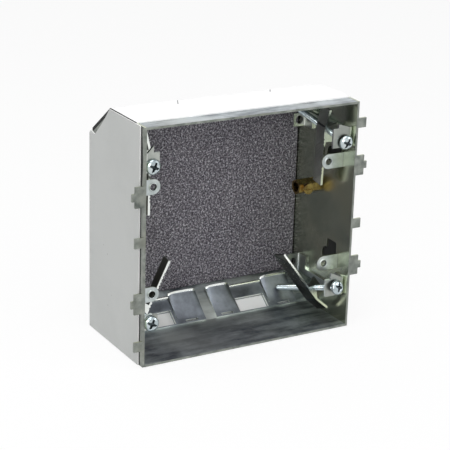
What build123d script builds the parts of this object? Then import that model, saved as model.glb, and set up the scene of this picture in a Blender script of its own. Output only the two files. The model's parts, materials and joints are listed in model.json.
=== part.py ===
"""Back box for two wiring devices, with sloped cable entries, swing clamps and a fire-resisting pad.

Millimetres. X runs across the box, +Y runs from the open front to the back wall, +Z runs up.
The origin is the centre of the four device screw holes, on the front faces of their lugs.
"""
import os
from math import atan2, cos, hypot, radians, sin, sqrt, tan

from build123d import *

# Box body
WIDTH = 100.0
HEIGHT = 101.0
DEPTH = 49.4
SHEET = 1.0
BEVEL_RUN = 19.0
BEVEL_DROP = 14.2
FOLD_RADIUS = 1.6

# Device lugs, folded inwards from the side plates
SCREW_SPACING_X = 83.3
SCREW_SPACING_Z = 46.0
LUG_DEPTH = 8.5
LUG_WIDTH = 6.6
LUG_HOLE_RADIUS = 1.45
LUG_WINDOW_GAP = 0.6
LUG_WINDOW_CLEARANCE = 0.3
LUG_WINDOW_HEADROOM = 4.4

# Ears, folded outwards from the front edges of the side plates to rest on the wall board
EAR_REACH = 3.9
EAR_TIP_REACH = 5.3
EAR_TIP_HEIGHT = 3.2
CROSS_EAR_HEIGHT = 8.8
CROSS_EAR_RISE = 22.5
SMALL_EAR_HEIGHT = 4.3
END_EAR_RISE = 41.1
MIDDLE_EAR_DROP = 3.4

# Cable entries, pierced in the top and bottom bevels
ENTRY_HOLE_SHIFT = -1.4
ENTRY_HOLE_WIDTH = 14.6
ENTRY_HOLE_LENGTH = 7.0
ENTRY_HOLE_START = 0.9
PRY_SLOT_WIDTH = 6.0
PRY_SLOT_LENGTH = 1.0
PRY_SLOT_START = 1.0

# Cable clamp plates, one over each pair of entries
CLAMP_SHEET = 0.8
CLAMP_MARGIN_LEFT = 4.1
CLAMP_MARGIN_RIGHT = 6.1
CLAMP_GAP = 5.4
CLAMP_START = 0.5
CLAMP_LENGTH = 13.7
CLAMP_HINGE_LENGTH = 2.4
TONGUE_INNER_LEFT = -9.4
TONGUE_INNER_RIGHT = 7.2
TONGUE_SIDE_GAP = 0.4
TONGUE_LENGTH = 15.4
TONGUE_RISE = 2.2
ROLL_RADIUS = 0.9

# Corner clamp brackets
BRACKET_FRONT = 2.4
BRACKET_REAR = 39.0
BRACKET_REAR_REACH = 6.8
BRACKET_FOLD_RADIUS = 1.4
BRACKET_BOTTOM = 13.0
BRACKET_HORN_START = 2.6
BRACKET_HORN_MARGIN = 1.6
BRACKET_STRAP_TOP = 15.6
BRACKET_CHEEK_END = 9.0
BRACKET_CHEEK_FOOT = 12.0
BRACKET_FLANGE_START = 32.2
BRACKET_TAB_BOTTOM = 14.0
BRACKET_FLANGE_TOP = 21.4
BRACKET_HOLE_RADIUS = 1.9
REAR_HOLE_RADIUS = 1.9
REAR_HOLE_INSET = 4.8
REAR_HOLE_DROP = 0.5

# Corner clamp screws
CLAMP_SCREW_RADIUS = 1.45
CLAMP_SCREW_LENGTH = 36.5
CLAMP_HEAD_RADIUS = 3.2
CLAMP_HEAD_HEIGHT = 1.8
CLAMP_HEAD_CHAMFER = 0.6
CLAMP_SEAT_CLEARANCE = 0.1
RECESS_WIDTH = 0.8
RECESS_LENGTH = 3.6
RECESS_DEPTH = 1.0
SCREW_TIP_CHAMFER = 0.4

# Corner clamp wings
WING_SHEET = 1.0
WING_WIDTH = 6.2
WING_LEG_OFFSET = 3.2
WING_LEG_LENGTH = 24.0
WING_TOE_LENGTH = 7.6
WING_TOE_ANGLE = 14.0
WING_TOE_RADIUS = 3.0
WING_WEB_HALF = 3.4
WING_WEB_OUTER_HALF = 4.4
WING_WEB_REACH = 2.3
WING_THREAD_CLEARANCE = 0.05
RIB_PITCH = 1.45
RIB_WIDTH = 0.55
RIB_DEPTH = 0.3
RIB_ANGLE = 45.0
RIB_MARGIN = 2.0

# Earth terminal on the right side plate
PILLAR_DEPTH = 31.0
PILLAR_RISE = 5.3
PILLAR_LENGTH = 8.8
PILLAR_ACROSS_FLATS = 6.0
HEX_TURN = 30.0
PILLAR_BORE_RADIUS = 2.2
PILLAR_BORE_DEPTH = 6.6
EARTH_SCREW_INSET = 5.2
EARTH_SCREW_RADIUS = 1.45
EARTH_SCREW_CLEARANCE = 0.05
EARTH_SCREW_LENGTH = 1.1
EARTH_HEAD_RADIUS = 2.4
EARTH_HEAD_HEIGHT = 2.2
EARTH_SLOT_WIDTH = 0.8
EARTH_SLOT_DEPTH = 1.0

# Fire-resisting pad on the back wall
PAD_THICKNESS = 4.0
PAD_SIDE_CLEARANCE = 0.4
PAD_END_CLEARANCE = 0.4

# Films bonded over the outside
FILM = 0.5
END_FILM_SETBACK = 7.0
SIDE_FILM_SETBACK = 3.2
SIDE_FILM_SCOOP = 3.6
SIDE_FILM_SCOOP_END = 5.0
SIDE_FILM_EDGE_MARGIN = 1.4

# Each corner clamp as it hangs. Side is -1 left or 1 right, end is -1 bottom or 1 top. Inset and rise
# place its screw, reach, low, high and horn shape its front plate, all taken from the nearest walls.
# Then its screw's lean inwards and towards the end wall, its leg's swing from upright, and its depth.
CORNERS = {
    "bottom_right": {
        "side": 1, "end": -1, "inset": 6.3, "rise": 18.0,
        "reach": 9.7, "low": 14.4, "high": 22.2, "horn": 25.0,
        "lean_in": 14.0, "lean_end": 17.2, "leg": 33.3, "web": 12.9,
    },
    "top_right": {
        "side": 1, "end": 1, "inset": 4.8, "rise": 17.5,
        "reach": 9.7, "low": 11.4, "high": 19.9, "horn": 9.7,
        "lean_in": 0.5, "lean_end": 8.4, "leg": 184.0, "web": 11.8,
    },
    "bottom_left": {
        "side": -1, "end": -1, "inset": 4.8, "rise": 18.0,
        "reach": 6.9, "low": 15.0, "high": 21.2, "horn": 22.0,
        "lean_in": 8.0, "lean_end": 2.0, "leg": -25.0, "web": 17.0,
    },
    "top_left": {
        "side": -1, "end": 1, "inset": 4.8, "rise": 16.8,
        "reach": 6.9, "low": 11.2, "high": 19.3, "horn": 8.4,
        "lean_in": 0.0, "lean_end": 0.8, "leg": -180.0, "web": 12.0,
    },
}

HALF_WIDTH = WIDTH / 2
HALF_HEIGHT = HEIGHT / 2
FRONT = -LUG_DEPTH
BACK = FRONT + DEPTH
WALL_X = HALF_WIDTH - SHEET
LUG_X = SCREW_SPACING_X / 2
LUG_Z = SCREW_SPACING_Z / 2
FOLD_Y = BACK - BEVEL_RUN
BEVEL_ANGLE = atan2(BEVEL_DROP, BEVEL_RUN)
BEVEL_LENGTH = hypot(BEVEL_RUN, BEVEL_DROP)
CLAMP_WIDTH = (2 * WALL_X - CLAMP_MARGIN_LEFT - CLAMP_GAP - CLAMP_MARGIN_RIGHT) / 2
CLAMP_CENTRES = {
    "left": -WALL_X + CLAMP_MARGIN_LEFT + CLAMP_WIDTH / 2,
    "right": WALL_X - CLAMP_MARGIN_RIGHT - CLAMP_WIDTH / 2,
}

# The bottom bevel's own frame: X across, Y up the slope from the outer fold, Z into the box
BEVEL = Plane(
    origin=(0, FOLD_Y, -HALF_HEIGHT),
    x_dir=(1, 0, 0),
    z_dir=(0, -sin(BEVEL_ANGLE), cos(BEVEL_ANGLE)),
)


def facing_front(y):
    """A plane at depth y that looks out of the open front, with X across and Z up."""
    return Plane.XZ.offset(-y)


# Corners of the box seen from its side, in Y and Z
SIDE_OUTLINE = [
    (FRONT, -HALF_HEIGHT),
    (FOLD_Y, -HALF_HEIGHT),
    (BACK, -HALF_HEIGHT + BEVEL_DROP),
    (BACK, HALF_HEIGHT - BEVEL_DROP),
    (FOLD_Y, HALF_HEIGHT),
    (FRONT, HALF_HEIGHT),
]


def bent_strip(points, radius, thickness, side):
    """The section of a sheet of one thickness, bent along a path of corners."""
    with BuildSketch() as strip:
        with BuildLine():
            FilletPolyline(*points, radius=radius)
            offset(amount=thickness, side=side)
        make_face()
    return strip.sketch


os.makedirs("parts", exist_ok=True)

# Back shell: top wall, two bevels, back wall and bottom wall, bent from one sheet
with BuildPart() as back_shell:
    with BuildSketch(Plane.YZ) as shell_profile:
        add(bent_strip(SIDE_OUTLINE, FOLD_RADIUS, SHEET, Side.LEFT))
    extrude(amount=WALL_X, both=True)
    with BuildSketch(BEVEL) as entry_holes:
        with Locations((CLAMP_CENTRES["left"], 0), (CLAMP_CENTRES["right"], 0)):
            with Locations((ENTRY_HOLE_SHIFT, ENTRY_HOLE_START)):
                Rectangle(ENTRY_HOLE_WIDTH, ENTRY_HOLE_LENGTH, align=(Align.CENTER, Align.MIN))
            with Locations(
                ((TONGUE_INNER_LEFT - CLAMP_WIDTH / 2) / 2, PRY_SLOT_START),
                ((TONGUE_INNER_RIGHT + CLAMP_WIDTH / 2) / 2, PRY_SLOT_START),
            ):
                Rectangle(PRY_SLOT_WIDTH, PRY_SLOT_LENGTH, align=(Align.CENTER, Align.MIN))
    entry_cut = extrude(amount=SHEET * 2, both=True, mode=Mode.SUBTRACT)
    mirror(entry_cut, about=Plane.XY, mode=Mode.SUBTRACT)


# Side plates: the same stamping on both sides, turned half a turn
with BuildPart() as side_plate_right:
    with BuildSketch(Plane.YZ.offset(WALL_X)) as side_profile:
        with BuildLine():
            Polyline(*SIDE_OUTLINE, close=True)
        make_face()
        fold_corners = side_profile.vertices().filter_by(lambda corner: corner.X > FRONT + SHEET)
        fillet(fold_corners, radius=FOLD_RADIUS)
    extrude(amount=SHEET)
    with BuildSketch(facing_front(FRONT)) as ears:
        for rise, height in (
            (END_EAR_RISE, SMALL_EAR_HEIGHT),
            (CROSS_EAR_RISE, CROSS_EAR_HEIGHT),
            (-MIDDLE_EAR_DROP, SMALL_EAR_HEIGHT),
            (-CROSS_EAR_RISE, CROSS_EAR_HEIGHT),
        ):
            with Locations((WALL_X, rise)):
                Rectangle(EAR_REACH + SHEET, height, align=(Align.MIN, Align.CENTER))
        with Locations((WALL_X, CROSS_EAR_RISE), (WALL_X, -CROSS_EAR_RISE)):
            Rectangle(EAR_TIP_REACH + SHEET, EAR_TIP_HEIGHT, align=(Align.MIN, Align.CENTER))
    extrude(amount=-SHEET)
    with BuildSketch(facing_front(0)) as lugs:
        for rise in (LUG_Z, -LUG_Z):
            with Locations((WALL_X, rise)):
                Rectangle(WALL_X - LUG_X, LUG_WIDTH, align=(Align.MAX, Align.CENTER))
            with Locations((LUG_X, rise)):
                Circle(LUG_WIDTH / 2)
                Circle(LUG_HOLE_RADIUS, mode=Mode.SUBTRACT)
    extrude(amount=-SHEET)
    with BuildSketch(Plane.YZ.offset(WALL_X)) as lug_windows:
        window_start = SHEET + LUG_WINDOW_GAP
        window_height = LUG_WIDTH + 2 * LUG_WINDOW_CLEARANCE
        window_reach = WALL_X - LUG_X
        for rise in (LUG_Z, -LUG_Z):
            with Locations((window_start, rise)):
                Rectangle(window_reach, window_height, align=(Align.MIN, Align.CENTER))
            with Locations((window_start + window_reach, rise)):
                Circle(window_height / 2)
            with Locations((window_start, rise)):
                Rectangle(window_reach, LUG_WIDTH / 2 + LUG_WINDOW_HEADROOM, align=(Align.MIN, Align.MIN))
    extrude(amount=SHEET, mode=Mode.SUBTRACT)

with BuildPart() as side_plate_left:
    add(side_plate_right.part.rotate(Axis.Y, 180))


def tongue(left, right):
    """One tongue of a cable clamp: flat at its hinge, with a vault that rises to its free end."""
    width = right - left
    vault_radius = (width**2 / 4 + TONGUE_RISE**2) / (2 * TONGUE_RISE)
    vault_length = TONGUE_LENGTH - CLAMP_HINGE_LENGTH
    hinge_end = CLAMP_START + CLAMP_HINGE_LENGTH
    axis_angle = BEVEL_ANGLE + atan2(TONGUE_RISE, vault_length)
    axis_rise = SHEET + CLAMP_SHEET + TONGUE_RISE - vault_radius
    vault_end = Plane(
        origin=BEVEL.from_local_coords(Vector((left + right) / 2, CLAMP_START + TONGUE_LENGTH, axis_rise)),
        x_dir=(1, 0, 0),
        z_dir=(0, cos(axis_angle), sin(axis_angle)),
    )
    with BuildPart() as part:
        with BuildSketch(vault_end):
            Circle(vault_radius)
        extrude(amount=TONGUE_LENGTH, both=True)
        with BuildSketch(BEVEL.offset(SHEET)) as outline:
            with Locations((left, hinge_end)):
                Rectangle(width, vault_length, align=(Align.MIN, Align.MIN))
        extrude(amount=CLAMP_SHEET + TONGUE_RISE, mode=Mode.INTERSECT)
        extrude(outline.sketch, amount=CLAMP_SHEET)
        with BuildSketch(vault_end):
            Circle(vault_radius - CLAMP_SHEET)
        extrude(amount=TONGUE_LENGTH, both=True, mode=Mode.SUBTRACT)
    return part.part


def cable_clamp(centre):
    """A pressed plate on the bottom bevel: a rolled upper edge between two arched tongues."""
    with BuildPart() as clamp:
        with BuildSketch(BEVEL.offset(SHEET)) as plate:
            with Locations((centre, CLAMP_START)):
                Rectangle(CLAMP_WIDTH, CLAMP_HINGE_LENGTH, align=(Align.CENTER, Align.MIN))
            middle_left = TONGUE_INNER_LEFT + TONGUE_SIDE_GAP
            middle_right = TONGUE_INNER_RIGHT - TONGUE_SIDE_GAP
            with Locations((centre + middle_left, CLAMP_START)):
                Rectangle(middle_right - middle_left, CLAMP_LENGTH, align=(Align.MIN, Align.MIN))
            with Locations((centre + ENTRY_HOLE_SHIFT, ENTRY_HOLE_START)):
                Rectangle(
                    ENTRY_HOLE_WIDTH,
                    ENTRY_HOLE_LENGTH,
                    align=(Align.CENTER, Align.MIN),
                    mode=Mode.SUBTRACT,
                )
            for inner, outer in (
                (TONGUE_INNER_LEFT, -CLAMP_WIDTH / 2),
                (TONGUE_INNER_RIGHT, CLAMP_WIDTH / 2),
            ):
                with Locations((centre + (inner + outer) / 2, PRY_SLOT_START)):
                    Rectangle(
                        PRY_SLOT_WIDTH,
                        PRY_SLOT_LENGTH,
                        align=(Align.CENTER, Align.MIN),
                        mode=Mode.SUBTRACT,
                    )
        extrude(amount=CLAMP_SHEET)
        with BuildSketch(Plane.YZ.offset(centre + middle_left)) as roll:
            roll_centre = BEVEL.from_local_coords(
                Vector(0, CLAMP_START + CLAMP_LENGTH, SHEET + ROLL_RADIUS)
            )
            with Locations((roll_centre.Y, roll_centre.Z)):
                Circle(ROLL_RADIUS)
        extrude(amount=middle_right - middle_left)
        add(tongue(centre - CLAMP_WIDTH / 2, centre + TONGUE_INNER_LEFT))
        add(tongue(centre + TONGUE_INNER_RIGHT, centre + CLAMP_WIDTH / 2))
    return clamp.part


cable_clamps = {}
for hand, centre in CLAMP_CENTRES.items():
    cable_clamps[f"cable_clamp_bottom_{hand}"] = cable_clamp(centre)
    cable_clamps[f"cable_clamp_top_{hand}"] = cable_clamp(centre).mirror(Plane.XY)


def bracket_blank(corner):
    """One corner's bracket, drawn at the bottom right: a strap on the side plate, a plate at each end."""
    inner_x = WALL_X - corner["reach"]
    rear_x = WALL_X - BRACKET_REAR_REACH
    front_y = FRONT + BRACKET_FRONT
    rear_y = FRONT + BRACKET_REAR
    base_z = -HALF_HEIGHT
    plate_low = base_z + corner["low"]
    plate_high = base_z + corner["high"]
    horn_tip = base_z + corner["horn"]
    horn_root = plate_high if horn_tip > plate_high else plate_low
    lowest = min(plate_low, horn_tip)
    highest = max(plate_high, horn_tip)
    strap_low = base_z + BRACKET_BOTTOM
    strap_high = base_z + BRACKET_STRAP_TOP
    side_corners = [
        (front_y, lowest),
        (front_y + SHEET, lowest),
        (front_y + SHEET, plate_low),
        (FRONT + BRACKET_CHEEK_END, strap_low),
        (rear_y - SHEET, strap_low),
        (rear_y - SHEET, base_z + BRACKET_TAB_BOTTOM),
        (rear_y, base_z + BRACKET_TAB_BOTTOM),
        (rear_y, base_z + BRACKET_FLANGE_TOP),
        (FRONT + BRACKET_FLANGE_START, base_z + BRACKET_FLANGE_TOP),
        (FRONT + BRACKET_FLANGE_START, strap_high),
        (FRONT + BRACKET_CHEEK_FOOT, strap_high),
        (FRONT + BRACKET_CHEEK_END, plate_high),
        (front_y + SHEET, plate_high),
        (front_y + SHEET, highest),
        (front_y, highest),
    ]
    with BuildPart() as bracket:
        with BuildSketch(Plane.XY.offset(min(lowest, strap_low))) as strip:
            path = [(inner_x, front_y), (WALL_X, front_y), (WALL_X, rear_y), (rear_x, rear_y)]
            add(bent_strip(path, BRACKET_FOLD_RADIUS, SHEET, Side.LEFT))
        extrude(amount=highest - min(lowest, strap_low))
        with BuildSketch(Plane.YZ.offset(inner_x)) as side_view:
            with BuildLine():
                Polyline(*dict.fromkeys(side_corners), close=True)
            make_face()
        extrude(amount=corner["reach"], mode=Mode.INTERSECT)
        with BuildSketch(facing_front(front_y)) as plate_trim:
            with BuildLine():
                Polyline(
                    (inner_x + BRACKET_HORN_START, horn_tip),
                    (WALL_X - BRACKET_HORN_MARGIN, horn_root),
                    (WALL_X, horn_root),
                    (WALL_X, horn_tip),
                    close=True,
                )
            make_face()
            with BuildLine():
                Polyline(
                    (inner_x, horn_root),
                    (inner_x + BRACKET_HORN_START, horn_root),
                    (inner_x + BRACKET_HORN_START, horn_tip),
                    (inner_x, horn_tip),
                    close=True,
                )
            make_face()
        extrude(amount=-SHEET, mode=Mode.SUBTRACT)
        with BuildSketch(facing_front(front_y)) as screw_hole:
            with Locations((HALF_WIDTH - corner["inset"], base_z + corner["rise"])):
                Circle(BRACKET_HOLE_RADIUS)
        extrude(amount=-SHEET, mode=Mode.SUBTRACT)
        with BuildSketch(facing_front(rear_y - SHEET)) as rear_hole:
            with Locations((HALF_WIDTH - REAR_HOLE_INSET, base_z + corner["rise"] - REAR_HOLE_DROP)):
                Circle(REAR_HOLE_RADIUS)
        extrude(amount=-SHEET, mode=Mode.SUBTRACT)
    return bracket.part


def screw_frame(corner):
    """The frame of one clamp screw: origin in the bracket's hole, Z down the shank."""
    lean_x = -corner["side"] * tan(radians(corner["lean_in"]))
    lean_z = corner["end"] * tan(radians(corner["lean_end"]))
    down_shank = Vector(lean_x, 1, lean_z).normalized()
    hole_y = FRONT + BRACKET_FRONT + SHEET / 2
    hole_x = corner["side"] * (HALF_WIDTH - corner["inset"])
    hole_z = corner["end"] * (HALF_HEIGHT - corner["rise"])
    origin = Vector(hole_x, hole_y, hole_z)
    return Plane(origin=origin, x_dir=Vector(down_shank.Y, -down_shank.X, 0), z_dir=down_shank)


def seat_distance(frame):
    """How far the underside of a head stands in front of the hole's middle, along the shank."""
    facing = frame.z_dir.Y
    dip = CLAMP_HEAD_RADIUS * sqrt(1 - facing**2)
    return (SHEET / 2 + CLAMP_SEAT_CLEARANCE + dip) / facing


def clamp_screw(corner):
    """A pan head screw with a cross recess, leaning as it hangs in its bracket."""
    frame = screw_frame(corner)
    seat = frame.offset(-seat_distance(frame))
    crown = seat.offset(-CLAMP_HEAD_HEIGHT)
    with BuildPart() as screw:
        with BuildSketch(seat):
            Circle(CLAMP_HEAD_RADIUS)
        extrude(amount=-CLAMP_HEAD_HEIGHT)
        chamfer(screw.faces().sort_by(Axis.Y)[0].edges(), length=CLAMP_HEAD_CHAMFER)
        with BuildSketch(crown):
            Rectangle(RECESS_LENGTH, RECESS_WIDTH)
            Rectangle(RECESS_WIDTH, RECESS_LENGTH)
        extrude(amount=RECESS_DEPTH, mode=Mode.SUBTRACT)
        with BuildSketch(seat):
            Circle(CLAMP_SCREW_RADIUS)
        extrude(amount=CLAMP_SCREW_LENGTH)
        chamfer(screw.edges().sort_by(Axis.Y)[-1], length=SCREW_TIP_CHAMFER)
    return screw.part


def wing_frame(corner):
    """The frame of one wing: origin on the screw, X along the leg, Z down the shank."""
    frame = screw_frame(corner)
    swing = radians(corner["leg"])
    leg = Vector(-sin(swing), 0, cos(swing))
    leg = (leg - frame.z_dir * leg.dot(frame.z_dir)).normalized()
    origin = frame.origin + frame.z_dir * (corner["web"] - BRACKET_FRONT - SHEET / 2)
    return Plane(origin=origin, x_dir=leg, z_dir=frame.z_dir)


def clamp_wing(corner):
    """A stamping with a threaded web, a ribbed leg and a short bent toe, folded from one strip."""
    frame = wing_frame(corner)
    hand = -corner["side"] * corner["end"]
    leg_y = -WING_LEG_OFFSET
    toe = radians(WING_TOE_ANGLE)
    toe_x = -WING_WEB_HALF - WING_TOE_LENGTH * cos(toe)
    toe_y = leg_y + WING_TOE_LENGTH * sin(toe)
    outer_y = leg_y - WING_SHEET
    with BuildPart() as wing:
        with BuildSketch(frame) as strip:
            path = [
                (WING_LEG_LENGTH, hand * leg_y),
                (-WING_WEB_HALF, hand * leg_y),
                (toe_x, hand * toe_y),
            ]
            outer_side = Side.LEFT if hand > 0 else Side.RIGHT
            add(bent_strip(path, WING_TOE_RADIUS, WING_SHEET, outer_side))
        extrude(amount=WING_WIDTH)
        with BuildSketch(frame) as web:
            with BuildLine():
                Polyline(
                    (-WING_WEB_HALF, hand * outer_y),
                    (WING_WEB_HALF, hand * outer_y),
                    (WING_WEB_OUTER_HALF, hand * WING_WEB_REACH),
                    (-WING_WEB_OUTER_HALF, hand * WING_WEB_REACH),
                    close=True,
                )
            make_face()
        extrude(amount=WING_SHEET)
        with BuildSketch(frame) as thread_hole:
            Circle(CLAMP_SCREW_RADIUS + WING_THREAD_CLEARANCE)
        extrude(amount=WING_WIDTH, mode=Mode.SUBTRACT)
        rib_face = Plane(
            origin=frame.from_local_coords(Vector(0, hand * outer_y, WING_WIDTH / 2)),
            x_dir=frame.x_dir,
            z_dir=frame.y_dir * -hand,
        )
        rib_start = WING_WEB_HALF + RIB_MARGIN
        rib_count = int((WING_LEG_LENGTH - RIB_MARGIN - rib_start) / RIB_PITCH) + 1
        with BuildSketch(rib_face) as ribs:
            for index in range(rib_count):
                with Locations((rib_start + index * RIB_PITCH, 0)):
                    Rectangle(RIB_WIDTH, WING_WIDTH * 2, rotation=-hand * RIB_ANGLE)
        extrude(amount=-RIB_DEPTH, mode=Mode.SUBTRACT)
    return wing.part


corner_pieces = {}
for place, corner in CORNERS.items():
    blank = bracket_blank(corner)
    placed = blank if corner["side"] > 0 else blank.mirror(Plane.YZ)
    placed = placed if corner["end"] < 0 else placed.mirror(Plane.XY)
    corner_pieces[f"clamp_bracket_{place}"] = placed
    corner_pieces[f"clamp_screw_{place}"] = clamp_screw(corner)
    corner_pieces[f"clamp_wing_{place}"] = clamp_wing(corner)

# Earth pillar: a hexagonal brass bar on the right side plate, bored for the wire
PILLAR_Y = FRONT + PILLAR_DEPTH
EARTH_SCREW_X = WALL_X - EARTH_SCREW_INSET
PILLAR_FACE_Y = PILLAR_Y - PILLAR_ACROSS_FLATS / 2
with BuildPart() as earth_pillar:
    with BuildSketch(Plane.YZ.offset(WALL_X)) as hexagon:
        with Locations((PILLAR_Y, PILLAR_RISE)):
            RegularPolygon(PILLAR_ACROSS_FLATS / 2, 6, major_radius=False, rotation=HEX_TURN)
    extrude(amount=-PILLAR_LENGTH)
    with BuildSketch(Plane.YZ.offset(WALL_X - PILLAR_LENGTH)) as wire_bore:
        with Locations((PILLAR_Y, PILLAR_RISE)):
            Circle(PILLAR_BORE_RADIUS)
    extrude(amount=PILLAR_BORE_DEPTH, mode=Mode.SUBTRACT)
    with BuildSketch(facing_front(PILLAR_FACE_Y)) as cross_hole:
        with Locations((EARTH_SCREW_X, PILLAR_RISE)):
            Circle(EARTH_SCREW_RADIUS + EARTH_SCREW_CLEARANCE)
    extrude(amount=-PILLAR_ACROSS_FLATS / 2, mode=Mode.SUBTRACT)

# Earth screw: a slotted brass screw that clamps the wire from the front
with BuildPart() as earth_screw:
    with BuildSketch(facing_front(PILLAR_FACE_Y)):
        with Locations((EARTH_SCREW_X, PILLAR_RISE)):
            Circle(EARTH_HEAD_RADIUS)
    extrude(amount=EARTH_HEAD_HEIGHT)
    with BuildSketch(facing_front(PILLAR_FACE_Y)):
        with Locations((EARTH_SCREW_X, PILLAR_RISE)):
            Circle(EARTH_SCREW_RADIUS)
    extrude(amount=-EARTH_SCREW_LENGTH)
    with BuildSketch(facing_front(PILLAR_FACE_Y - EARTH_HEAD_HEIGHT)):
        with Locations((EARTH_SCREW_X, PILLAR_RISE)):
            Rectangle(2 * EARTH_HEAD_RADIUS, EARTH_SLOT_WIDTH)
    extrude(amount=-EARTH_SLOT_DEPTH, mode=Mode.SUBTRACT)

# Fire-resisting pad: it covers the back wall between the two bevels
PAD_BACK_Y = BACK - SHEET
PAD_FRONT_Y = PAD_BACK_Y - PAD_THICKNESS


def pad_half_height(y):
    """Half the room between the bevels at depth y, less the clearance at each end."""
    inner_rise = (y - FOLD_Y) * tan(BEVEL_ANGLE) + SHEET / cos(BEVEL_ANGLE)
    return HALF_HEIGHT - inner_rise - PAD_END_CLEARANCE


with BuildPart() as back_pad:
    with BuildSketch(Plane.YZ) as pad_profile:
        with BuildLine():
            Polyline(
                (PAD_FRONT_Y, -pad_half_height(PAD_FRONT_Y)),
                (PAD_BACK_Y, -pad_half_height(PAD_BACK_Y)),
                (PAD_BACK_Y, pad_half_height(PAD_BACK_Y)),
                (PAD_FRONT_Y, pad_half_height(PAD_FRONT_Y)),
                close=True,
            )
        make_face()
    extrude(amount=WALL_X - PAD_SIDE_CLEARANCE, both=True)


def end_film(end):
    """A film over the outside of one end wall and its bevel, as far as the back wall."""
    fold_reach = FOLD_RADIUS + SHEET
    start = (FRONT + END_FILM_SETBACK, end * HALF_HEIGHT)
    fold = (FOLD_Y, end * HALF_HEIGHT)
    finish_share = 1 - fold_reach / BEVEL_LENGTH
    finish = (FOLD_Y + BEVEL_RUN * finish_share, end * (HALF_HEIGHT - BEVEL_DROP * finish_share))
    with BuildPart() as film:
        with BuildSketch(Plane.YZ):
            outer_side = Side.LEFT if end > 0 else Side.RIGHT
            add(bent_strip([start, fold, finish], FOLD_RADIUS, FILM, outer_side))
        extrude(amount=HALF_WIDTH, both=True)
    return film.part


def side_film(side):
    """A film over one side plate, scooped out beside the top bevel and square at the bottom."""
    scoop_y = BACK - SIDE_FILM_SCOOP_END
    scoop_z = HALF_HEIGHT - (scoop_y - FOLD_Y) * tan(BEVEL_ANGLE) - SIDE_FILM_SCOOP
    middle_y = (FOLD_Y + scoop_y) / 2
    middle_z = HALF_HEIGHT - (middle_y - FOLD_Y) * tan(BEVEL_ANGLE) - SIDE_FILM_SCOOP * 2 / 3
    corner_z = HALF_HEIGHT - BEVEL_DROP + SHEET
    with BuildPart() as film:
        with BuildSketch(Plane.YZ.offset(side * HALF_WIDTH)):
            with BuildLine():
                Polyline(
                    (FOLD_Y, HALF_HEIGHT),
                    (FRONT + SIDE_FILM_SETBACK, HALF_HEIGHT),
                    (FRONT + SIDE_FILM_SETBACK, -HALF_HEIGHT),
                    (BACK, -HALF_HEIGHT),
                    (BACK, corner_z - SIDE_FILM_EDGE_MARGIN),
                    (BACK - SIDE_FILM_EDGE_MARGIN, corner_z),
                    (scoop_y, scoop_z),
                )
                ThreePointArc((scoop_y, scoop_z), (middle_y, middle_z), (FOLD_Y, HALF_HEIGHT))
            make_face()
        extrude(amount=side * FILM)
    return film.part


pieces = {
    "back_shell": back_shell.part,
    "side_plate_right": side_plate_right.part,
    "side_plate_left": side_plate_left.part,
    **cable_clamps,
    **corner_pieces,
    "earth_pillar": earth_pillar.part,
    "earth_screw": earth_screw.part,
    "back_pad": back_pad.part,
    "top_film": end_film(1),
    "bottom_film": end_film(-1),
    "right_film": side_film(1),
    "left_film": side_film(-1),
}
for name, piece in pieces.items():
    piece.label = name
    export_step(piece, f"parts/{name}.step")
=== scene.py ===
"""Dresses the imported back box.

It sets the camera, the studio and the finishes, and builds the pieces whose surface is finer than the
solids: rounded sheet edges, pressed cable clamps, threaded screws, lug collars and bonded films.
"""
import json
import logging
from collections.abc import Callable, Iterator
from contextlib import contextmanager
from dataclasses import dataclass
from enum import Enum, IntEnum
from math import cos, pi, radians, sin, tan
from typing import Protocol

import bmesh
import bpy
import numpy as np
from mathutils import Matrix, Vector

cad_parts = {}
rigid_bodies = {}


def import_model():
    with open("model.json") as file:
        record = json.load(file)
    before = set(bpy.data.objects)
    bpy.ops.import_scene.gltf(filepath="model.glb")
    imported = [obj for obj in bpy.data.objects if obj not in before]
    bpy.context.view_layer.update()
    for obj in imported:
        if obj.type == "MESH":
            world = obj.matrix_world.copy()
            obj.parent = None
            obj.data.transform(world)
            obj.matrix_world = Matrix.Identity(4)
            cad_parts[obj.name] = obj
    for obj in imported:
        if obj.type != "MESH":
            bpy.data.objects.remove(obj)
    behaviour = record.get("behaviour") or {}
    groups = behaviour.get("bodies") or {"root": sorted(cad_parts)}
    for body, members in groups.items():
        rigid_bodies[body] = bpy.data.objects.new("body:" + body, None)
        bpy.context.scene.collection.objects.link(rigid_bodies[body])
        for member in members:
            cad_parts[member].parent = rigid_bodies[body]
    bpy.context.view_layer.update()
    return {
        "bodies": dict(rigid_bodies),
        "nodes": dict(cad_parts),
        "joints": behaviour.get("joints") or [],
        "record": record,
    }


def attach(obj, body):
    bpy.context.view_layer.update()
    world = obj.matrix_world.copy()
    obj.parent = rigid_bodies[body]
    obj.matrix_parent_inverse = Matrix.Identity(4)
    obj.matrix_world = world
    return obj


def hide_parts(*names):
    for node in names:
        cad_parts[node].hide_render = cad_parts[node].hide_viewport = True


LOG = logging.getLogger("back_box")
MM = 0.001

# The box's half width and half height, in millimetres
HALF_WIDTH = 50.0
HALF_HEIGHT = 50.5

# The ways that the names of the corners stand for
ENDS = {"bottom": -1, "top": 1}
SIDES = {"left": -1, "right": 1}

Colour = tuple[float, float, float]
Socket = bpy.types.NodeSocket


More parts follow.
